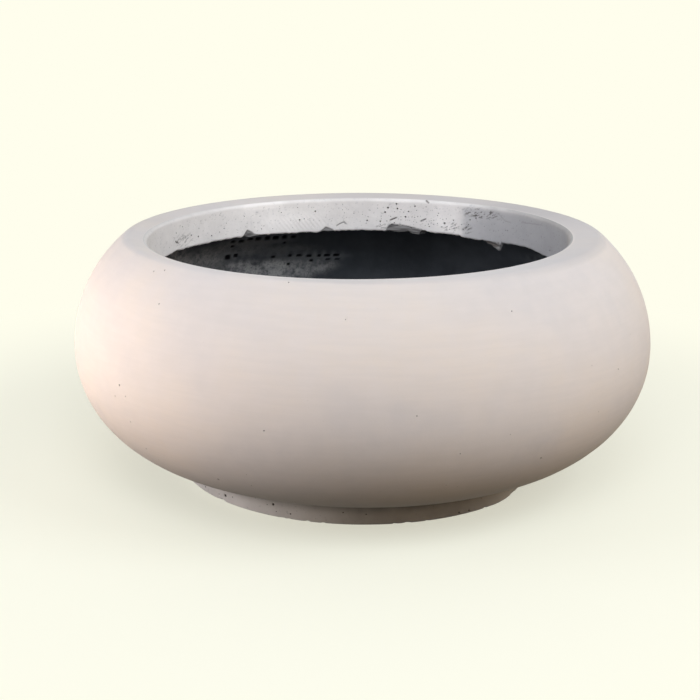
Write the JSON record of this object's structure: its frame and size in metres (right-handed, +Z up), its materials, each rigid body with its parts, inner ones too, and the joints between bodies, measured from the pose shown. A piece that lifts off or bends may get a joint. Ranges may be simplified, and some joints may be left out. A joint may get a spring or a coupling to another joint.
{
  "type": "bowl planter",
  "caption": "Squat round fibre-concrete bowl planter with an in-turned rim, a dark sealed inside, a short foot ring and a drain hole with a lift-out rubber plug.",
  "frame": {"origin": "centre of the foot ring's underside, on the ground", "axes": "+Z up along the axis of the bowl; the bowl is round, so +X and +Y are free, and -Y faces the camera of the reference picture"},
  "size_m": [0.6, 0.5998, 0.249],
  "materials": {
    "face_concrete": "matte",
    "backing_concrete": "matte",
    "glass_fibre": "matte",
    "seal_black": "matte",
    "foot_concrete": "matte",
    "bed_mortar": "matte",
    "plug_rubber": "matte"
  },
  "bodies": {
    "bowl": {"bowl_shell": "face_concrete", "backing_coat": "backing_concrete", "fibre_mesh": "glass_fibre", "seal_coat": "seal_black", "foot_ring": "foot_concrete", "foot_bed": "bed_mortar"},
    "plug": {"drain_plug": "plug_rubber"}
  },
  "joints": [
    {"name": "plug_lift", "type": "slide", "parent": "bowl", "child": "plug", "axis": [0, 0, 1], "range_m": [0, 0.3]}
  ]
}
